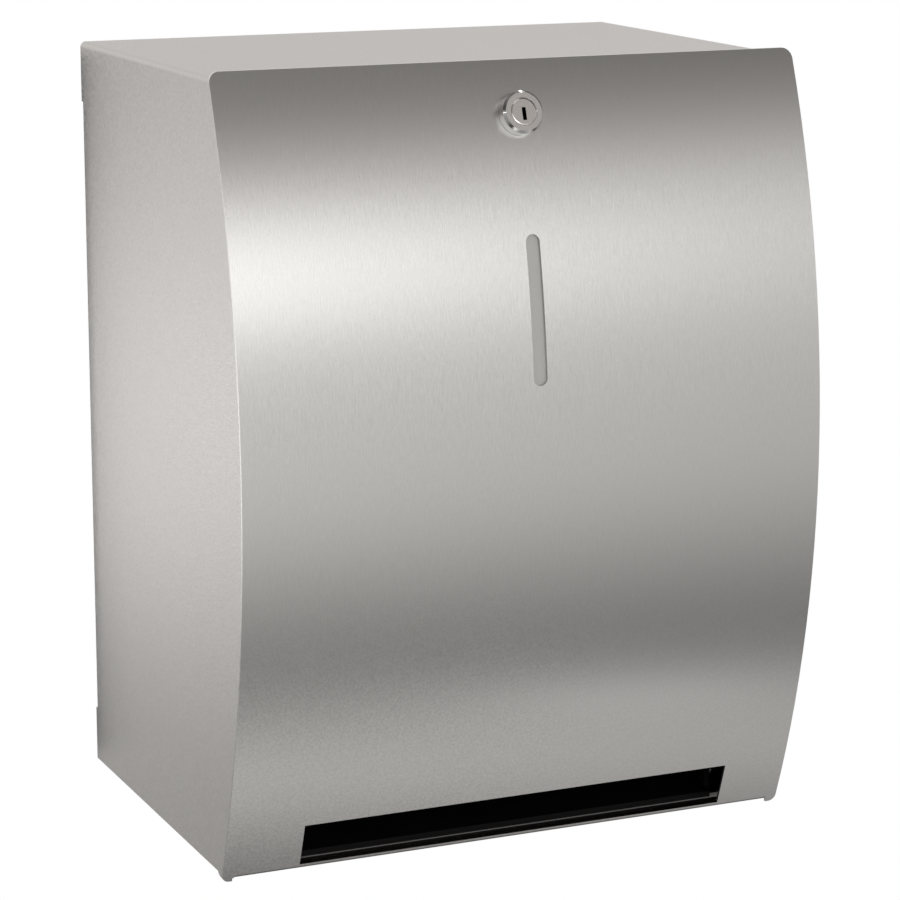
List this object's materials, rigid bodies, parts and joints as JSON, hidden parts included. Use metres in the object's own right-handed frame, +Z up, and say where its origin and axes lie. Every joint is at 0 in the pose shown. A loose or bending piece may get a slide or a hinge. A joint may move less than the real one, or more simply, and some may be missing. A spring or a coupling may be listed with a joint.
{
  "type": "paper towel dispenser",
  "caption": "Wall-mounted stainless dispenser for a roll of paper towel: bulged hinged door with cam lock, level window and outlet slot; feed and pinch rollers and a tear blade inside.",
  "frame": {"origin": "middle of the four wall screw holes, on the wall face", "axes": "+X to the viewer's right across the door, +Y into the wall, +Z up"},
  "size_m": [0.32, 0.2497, 0.4094],
  "materials": {
    "door_steel": "fine upright brushed grain, satin",
    "casing_steel": "fine satin, almost without direction",
    "inner_steel": "plain mill finish",
    "fastener_steel": "bright plated",
    "shaft_steel": "ground round bar",
    "blade_steel": "stamped stainless strip",
    "spring_steel": "drawn spring wire",
    "lock_chrome": "polished rim, satin face",
    "lock_plug": "satin face",
    "black_plastic": "moulded, fine grain",
    "white_plastic": "moulded, self-lubricating",
    "grey_plastic": "moulded",
    "rubber": "ground rubber",
    "window_pane": "clear strip, lightly frosted",
    "paper": "soft wound towel",
    "cardboard": "spiral-wound tube"
  },
  "bodies": {
    "casing": {"case_shell": "casing_steel", "back_plate": "casing_steel", "bottom_plate": "casing_steel", "hinge_studs": "fastener_steel", "lock_strike": "inner_steel", "roll_bracket_left": "inner_steel", "roll_bracket_right": "inner_steel", "bracket_nuts": "fastener_steel", "feed_frame_left": "black_plastic", "feed_frame_right": "black_plastic", "frame_nuts": "fastener_steel", "feed_bushes": "white_plastic", "guide_bar": "shaft_steel", "pinch_pivot": "shaft_steel", "bar_screws": "fastener_steel", "outlet_chute": "black_plastic", "outlet_hood": "black_plastic", "tear_blade": "blade_steel", "blade_screws": "fastener_steel", "pinch_springs": "spring_steel"},
    "door": {"door_panel": "door_steel", "door_lug_left": "inner_steel", "door_lug_right": "inner_steel", "window_pane": "window_pane", "window_retainer": "black_plastic", "window_nuts": "fastener_steel", "lock_housing": "lock_chrome", "lock_washer": "fastener_steel", "lock_nut": "fastener_steel"},
    "lock_plug": {"lock_plug": "lock_plug", "lock_cam": "fastener_steel", "cam_screw": "fastener_steel"},
    "paper_roll": {"paper_roll": "paper", "roll_core": "cardboard", "roll_spindle": "shaft_steel", "spindle_hubs": "white_plastic"},
    "feed_roller": {"feed_shaft": "shaft_steel", "feed_core": "grey_plastic", "feed_sleeves": "rubber", "thumb_wheel": "grey_plastic", "shaft_collar": "shaft_steel"},
    "pinch_arm": {"pinch_yoke": "inner_steel"},
    "pinch_roller": {"pinch_shaft": "shaft_steel", "pinch_sleeves": "rubber", "pinch_clips": "spring_steel"}
  },
  "joints": [
    {"name": "door_swing", "type": "hinge", "parent": "casing", "child": "door", "pos_m": [0, -0.20538, -0.2006], "axis": [1, 0, 0], "range_deg": [0, 90]},
    {"name": "lock_turn", "type": "hinge", "parent": "door", "child": "lock_plug", "pos_m": [0, -0.2196, 0.1755], "axis": [0, -0.9462, 0.3237], "range_deg": [0, 90]},
    {"name": "roll_spin", "type": "hinge", "parent": "casing", "child": "paper_roll", "pos_m": [0.0027, -0.115, 0.083], "axis": [1, 0, 0], "continuous": true},
    {"name": "feed_spin", "type": "hinge", "parent": "casing", "child": "feed_roller", "pos_m": [0.0027, -0.17198, -0.155], "axis": [1, 0, 0], "continuous": true},
    {"name": "pinch_lift", "type": "hinge", "parent": "casing", "child": "pinch_arm", "pos_m": [0.0027, -0.13358, -0.119], "axis": [1, 0, 0], "range_deg": [0, 20], "stiffness_Nm_per_rad": 0.8, "springref_deg": -20.05, "deforming": ["pinch_springs"]},
    {"name": "pinch_spin", "type": "hinge", "parent": "pinch_arm", "child": "pinch_roller", "pos_m": [0.0027, -0.14558, -0.155], "axis": [1, 0, 0], "continuous": true}
  ],
  "couplings": [
    {"joint": "pinch_spin", "follows": "feed_spin", "ratio": -1.6}
  ]
}
